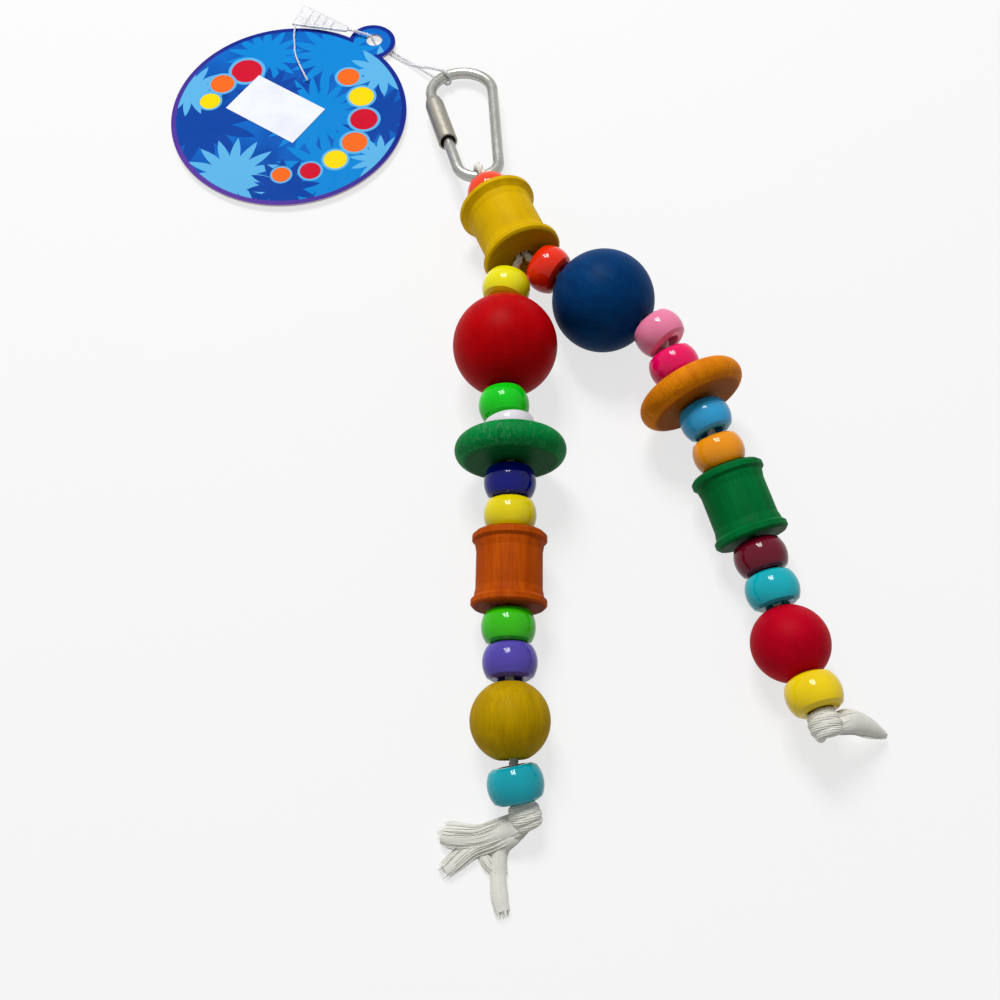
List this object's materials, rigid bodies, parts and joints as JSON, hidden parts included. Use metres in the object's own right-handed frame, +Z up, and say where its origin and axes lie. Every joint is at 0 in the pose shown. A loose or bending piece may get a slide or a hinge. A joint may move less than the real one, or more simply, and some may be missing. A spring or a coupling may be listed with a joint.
{
  "type": "hanging bird toy",
  "caption": "Hanging toy for cage birds: a pear-shaped screw link holding a folded cotton cord whose strings carry wooden balls, discs, spools and plastic beads, with a round card tag.",
  "frame": {"origin": "on the surface that the toy lies on, under the middle of the link's eye", "axes": "+Z up from the surface; the link and its tag lie towards +Y and the strings run towards -Y, the left one near the Y axis and the right one leaning to +X"},
  "size_m": [0.1334, 0.1926, 0.0196],
  "materials": {
    "link_metal": "nickel plated, slightly dull",
    "sleeve_metal": "nickel plated, turned",
    "cotton_cord": "off-white twisted cotton",
    "top_bead": "glossy, through-coloured",
    "top_spool": "dyed, satin, faint grain",
    "left_yellow_bead": "glossy, through-coloured",
    "left_red_ball": "dyed, satin, faint grain",
    "left_green_bead": "glossy, through-coloured",
    "left_white_bead": "glossy, through-coloured",
    "left_green_disc": "dyed, satin, faint grain",
    "left_navy_bead": "glossy, through-coloured",
    "left_gold_bead": "glossy, through-coloured",
    "left_brown_spool": "dyed, satin, faint grain",
    "left_lime_bead": "glossy, through-coloured",
    "left_purple_bead": "glossy, through-coloured",
    "left_olive_ball": "dyed, satin, faint grain",
    "left_turquoise_bead": "glossy, through-coloured",
    "right_scarlet_bead": "glossy, through-coloured",
    "right_blue_ball": "dyed, satin, faint grain",
    "right_pink_bead": "glossy, through-coloured",
    "right_magenta_bead": "glossy, through-coloured",
    "right_orange_disc": "dyed, satin, faint grain",
    "right_sky_bead": "glossy, through-coloured",
    "right_orange_bead": "glossy, through-coloured",
    "right_green_spool": "dyed, satin, faint grain",
    "right_maroon_bead": "glossy, through-coloured",
    "right_teal_bead": "glossy, through-coloured",
    "right_red_ball": "dyed, satin, faint grain",
    "right_yellow_bead": "glossy, through-coloured",
    "tie_plastic": "clear, slightly milky",
    "tag_card": "printed board, satin",
    "tag_label": "blank white sticker, matte"
  },
  "bodies": {
    "link": {"link_wire": "link_metal"},
    "sleeve": {"link_sleeve": "sleeve_metal"},
    "eye": {"cord_eye": "cotton_cord"},
    "trunk": {"trunk_cord": "cotton_cord"},
    "top_bead": {"top_bead": "top_bead"},
    "top_spool": {"top_spool": "top_spool"},
    "left_top_cord": {"left_cord_top": "cotton_cord"},
    "left_ball_cord": {"left_cord_ball": "cotton_cord"},
    "left_middle_cord": {"left_cord_middle": "cotton_cord"},
    "left_low_cord": {"left_cord_low": "cotton_cord"},
    "left_tip_cord": {"left_cord_tip": "cotton_cord", "left_knot": "cotton_cord"},
    "left_yellow_bead": {"left_yellow_bead": "left_yellow_bead"},
    "left_red_ball": {"left_red_ball": "left_red_ball"},
    "left_green_bead": {"left_green_bead": "left_green_bead"},
    "left_white_bead": {"left_white_bead": "left_white_bead"},
    "left_green_disc": {"left_green_disc": "left_green_disc"},
    "left_navy_bead": {"left_navy_bead": "left_navy_bead"},
    "left_gold_bead": {"left_gold_bead": "left_gold_bead"},
    "left_brown_spool": {"left_brown_spool": "left_brown_spool"},
    "left_lime_bead": {"left_lime_bead": "left_lime_bead"},
    "left_purple_bead": {"left_purple_bead": "left_purple_bead"},
    "left_olive_ball": {"left_olive_ball": "left_olive_ball"},
    "left_turquoise_bead": {"left_turquoise_bead": "left_turquoise_bead"},
    "right_top_cord": {"right_cord_top": "cotton_cord"},
    "right_ball_cord": {"right_cord_ball": "cotton_cord"},
    "right_middle_cord": {"right_cord_middle": "cotton_cord"},
    "right_low_cord": {"right_cord_low": "cotton_cord"},
    "right_tip_cord": {"right_cord_tip": "cotton_cord", "right_knot": "cotton_cord"},
    "right_scarlet_bead": {"right_scarlet_bead": "right_scarlet_bead"},
    "right_blue_ball": {"right_blue_ball": "right_blue_ball"},
    "right_pink_bead": {"right_pink_bead": "right_pink_bead"},
    "right_magenta_bead": {"right_magenta_bead": "right_magenta_bead"},
    "right_orange_disc": {"right_orange_disc": "right_orange_disc"},
    "right_sky_bead": {"right_sky_bead": "right_sky_bead"},
    "right_orange_bead": {"right_orange_bead": "right_orange_bead"},
    "right_green_spool": {"right_green_spool": "right_green_spool"},
    "right_maroon_bead": {"right_maroon_bead": "right_maroon_bead"},
    "right_teal_bead": {"right_teal_bead": "right_teal_bead"},
    "right_red_ball": {"right_red_ball": "right_red_ball"},
    "right_yellow_bead": {"right_yellow_bead": "right_yellow_bead"},
    "tie": {"tag_tie": "tie_plastic", "tie_grip": "tie_plastic", "tie_tail": "tie_plastic"},
    "tag": {"tag_card": "tag_card", "tag_label": "tag_label"}
  },
  "joints": [
    {"name": "sleeve_slide", "type": "slide", "parent": "link", "child": "sleeve", "axis": [0.2582, -0.9555, 0.1428], "range_m": [0, 0.007]},
    {"name": "eye_tilt", "type": "hinge", "parent": "link", "child": "eye", "pos_m": [0.00439, -0.02711, 0.00694], "axis": [-0.9323, -0.3616, 0], "range_deg": [-60, 75]},
    {"name": "trunk_swing", "type": "hinge", "parent": "eye", "child": "trunk", "pos_m": [0.00548, -0.02991, 0.00718], "axis": [0, 0, 1], "range_deg": [-10, 10]},
    {"name": "top_bead_spin", "type": "hinge", "parent": "trunk", "child": "top_bead", "pos_m": [0.00628, -0.03199, 0.00735], "axis": [0.3605, -0.9294, 0.0785], "continuous": true},
    {"name": "top_spool_spin", "type": "hinge", "parent": "trunk", "child": "top_spool", "pos_m": [0.01007, -0.04175, 0.00818], "axis": [0.3605, -0.9294, 0.0785], "continuous": true},
    {"name": "left_swing", "type": "hinge", "parent": "trunk", "child": "left_top_cord", "pos_m": [0.01197, -0.04903, 0.00876], "axis": [0, 0, 1], "range_deg": [-8, 1]},
    {"name": "left_splay", "type": "hinge", "parent": "left_top_cord", "child": "left_ball_cord", "pos_m": [0.00936, -0.05928, 0.00915], "axis": [0, 0, 1], "range_deg": [-10, 2]},
    {"name": "left_lift", "type": "hinge", "parent": "left_ball_cord", "child": "left_middle_cord", "pos_m": [0.00903, -0.07841, 0.00959], "axis": [-0.9998, 0.0175, 0], "range_deg": [-10, 10]},
    {"name": "left_bend", "type": "hinge", "parent": "left_middle_cord", "child": "left_low_cord", "pos_m": [0.00985, -0.13007, 0.00651], "axis": [0, 0, 1], "range_deg": [-10, 10]},
    {"name": "left_tip_lift", "type": "hinge", "parent": "left_low_cord", "child": "left_tip_cord", "pos_m": [0.0104, -0.14255, 0.00514], "axis": [-0.9962, -0.0872, 0], "range_deg": [-6, 10]},
    {"name": "left_yellow_bead_spin", "type": "hinge", "parent": "left_top_cord", "child": "left_yellow_bead", "pos_m": [0.00942, -0.05604, 0.00903], "axis": [-0.1821, -0.9826, 0.0367], "continuous": true},
    {"name": "left_red_ball_spin", "type": "hinge", "parent": "left_ball_cord", "child": "left_red_ball", "pos_m": [0.0092, -0.06893, 0.0095], "axis": [-0.0174, -0.9996, 0.0227], "continuous": true},
    {"name": "left_green_bead_spin", "type": "hinge", "parent": "left_middle_cord", "child": "left_green_bead", "pos_m": [0.00898, -0.08148, 0.00962], "axis": [0.0958, -0.9954, 0.0093], "continuous": true},
    {"name": "left_white_bead_spin", "type": "hinge", "parent": "left_middle_cord", "child": "left_white_bead", "pos_m": [0.00992, -0.08593, 0.00966], "axis": [0.1219, -0.9925, 0.0093], "continuous": true},
    {"name": "left_green_disc_spin", "type": "hinge", "parent": "left_middle_cord", "child": "left_green_disc", "pos_m": [0.01008, -0.0905, 0.0097], "axis": [0.0088, -0.9979, -0.0634], "continuous": true},
    {"name": "left_navy_bead_spin", "type": "hinge", "parent": "left_middle_cord", "child": "left_navy_bead", "pos_m": [0.00998, -0.09616, 0.00892], "axis": [-0.0086, -0.9907, -0.1357], "continuous": true},
    {"name": "left_gold_bead_spin", "type": "hinge", "parent": "left_middle_cord", "child": "left_gold_bead", "pos_m": [0.00998, -0.10191, 0.00814], "axis": [-0.0086, -0.9907, -0.1357], "continuous": true},
    {"name": "left_brown_spool_spin", "type": "hinge", "parent": "left_middle_cord", "child": "left_brown_spool", "pos_m": [0.00982, -0.11149, 0.00683], "axis": [-0.0174, -0.9969, -0.0765], "continuous": true},
    {"name": "left_lime_bead_spin", "type": "hinge", "parent": "left_middle_cord", "child": "left_lime_bead", "pos_m": [0.00965, -0.12117, 0.00666], "axis": [0.0087, -0.9998, -0.0172], "continuous": true},
    {"name": "left_purple_bead_spin", "type": "hinge", "parent": "left_middle_cord", "child": "left_purple_bead", "pos_m": [0.00985, -0.12699, 0.00656], "axis": [0.0175, -0.9997, -0.0172], "continuous": true},
    {"name": "left_olive_ball_spin", "type": "hinge", "parent": "left_low_cord", "child": "left_olive_ball", "pos_m": [0.00985, -0.1363, 0.0064], "axis": [0.0429, -0.9933, -0.1075], "continuous": true},
    {"name": "left_turquoise_bead_spin", "type": "hinge", "parent": "left_tip_cord", "child": "left_turquoise_bead", "pos_m": [0.01067, -0.14572, 0.0045], "axis": [0.1947, -0.9584, -0.2086], "continuous": true},
    {"name": "right_swing", "type": "hinge", "parent": "trunk", "child": "right_top_cord", "pos_m": [0.01357, -0.04841, 0.00876], "axis": [0, 0, 1], "range_deg": [-1, 3]},
    {"name": "right_splay", "type": "hinge", "parent": "right_top_cord", "child": "right_ball_cord", "pos_m": [0.01988, -0.05338, 0.0091], "axis": [0, 0, 1], "range_deg": [-2, 10]},
    {"name": "right_lift", "type": "hinge", "parent": "right_ball_cord", "child": "right_middle_cord", "pos_m": [0.03448, -0.06564, 0.01136], "axis": [-0.682, -0.7314, 0], "range_deg": [-10, 10]},
    {"name": "right_bend", "type": "hinge", "parent": "right_middle_cord", "child": "right_low_cord", "pos_m": [0.05404, -0.11775, 0.00651], "axis": [0, 0, 1], "range_deg": [-10, 10]},
    {"name": "right_tip_lift", "type": "hinge", "parent": "right_low_cord", "child": "right_tip_cord", "pos_m": [0.05669, -0.12974, 0.00787], "axis": [-0.9744, -0.225, 0], "range_deg": [-8, 10]},
    {"name": "right_scarlet_bead_spin", "type": "hinge", "parent": "right_top_cord", "child": "right_scarlet_bead", "pos_m": [0.01743, -0.05153, 0.00897], "axis": [0.7873, -0.6151, 0.042], "continuous": true},
    {"name": "right_blue_ball_spin", "type": "hinge", "parent": "right_ball_cord", "child": "right_blue_ball", "pos_m": [0.02744, -0.05908, 0.0095], "axis": [0.7611, -0.6381, 0.1162], "continuous": true},
    {"name": "right_pink_bead_spin", "type": "hinge", "parent": "right_middle_cord", "child": "right_pink_bead", "pos_m": [0.03693, -0.06792, 0.012], "axis": [0.5663, -0.8242, 0.0041], "continuous": true},
    {"name": "right_magenta_bead_spin", "type": "hinge", "parent": "right_middle_cord", "child": "right_magenta_bead", "pos_m": [0.03939, -0.07403, 0.01078], "axis": [0.4156, -0.8912, -0.1817], "continuous": true},
    {"name": "right_orange_disc_spin", "type": "hinge", "parent": "right_middle_cord", "child": "right_orange_disc", "pos_m": [0.04215, -0.07922, 0.0097], "axis": [0.4139, -0.9091, -0.0476], "continuous": true},
    {"name": "right_sky_bead_spin", "type": "hinge", "parent": "right_middle_cord", "child": "right_sky_bead", "pos_m": [0.0442, -0.08454, 0.0102], "axis": [0.3415, -0.9379, -0.0613], "continuous": true},
    {"name": "right_orange_bead_spin", "type": "hinge", "parent": "right_middle_cord", "child": "right_orange_bead", "pos_m": [0.04622, -0.09042, 0.00887], "axis": [0.3184, -0.9247, -0.2085], "continuous": true},
    {"name": "right_green_spool_spin", "type": "hinge", "parent": "right_middle_cord", "child": "right_green_spool", "pos_m": [0.04935, -0.0995, 0.00683], "axis": [0.2985, -0.9477, -0.1133], "continuous": true},
    {"name": "right_maroon_bead_spin", "type": "hinge", "parent": "right_middle_cord", "child": "right_maroon_bead", "pos_m": [0.05207, -0.10898, 0.00666], "axis": [0.2503, -0.968, -0.017], "continuous": true},
    {"name": "right_teal_bead_spin", "type": "hinge", "parent": "right_middle_cord", "child": "right_teal_bead", "pos_m": [0.0534, -0.11475, 0.00656], "axis": [0.2164, -0.9762, -0.017], "continuous": true},
    {"name": "right_red_ball_spin", "type": "hinge", "parent": "right_low_cord", "child": "right_red_ball", "pos_m": [0.05533, -0.12384, 0.0064], "axis": [0.215, -0.9703, 0.1107], "continuous": true},
    {"name": "right_yellow_bead_spin", "type": "hinge", "parent": "right_tip_cord", "child": "right_yellow_bead", "pos_m": [0.05736, -0.13265, 0.0086], "axis": [0.2136, -0.9641, 0.1575], "continuous": true},
    {"name": "tie_swing", "type": "hinge", "parent": "link", "child": "tie", "pos_m": [-0.00392, 0.00531, 0.0021], "axis": [0, 0, 1], "range_deg": [-30, 3]},
    {"name": "tag_swivel", "type": "hinge", "parent": "tie", "child": "tag", "pos_m": [-0.02003, 0.01749, 0], "axis": [0, 0, 1], "range_deg": [-25, 6]}
  ]
}
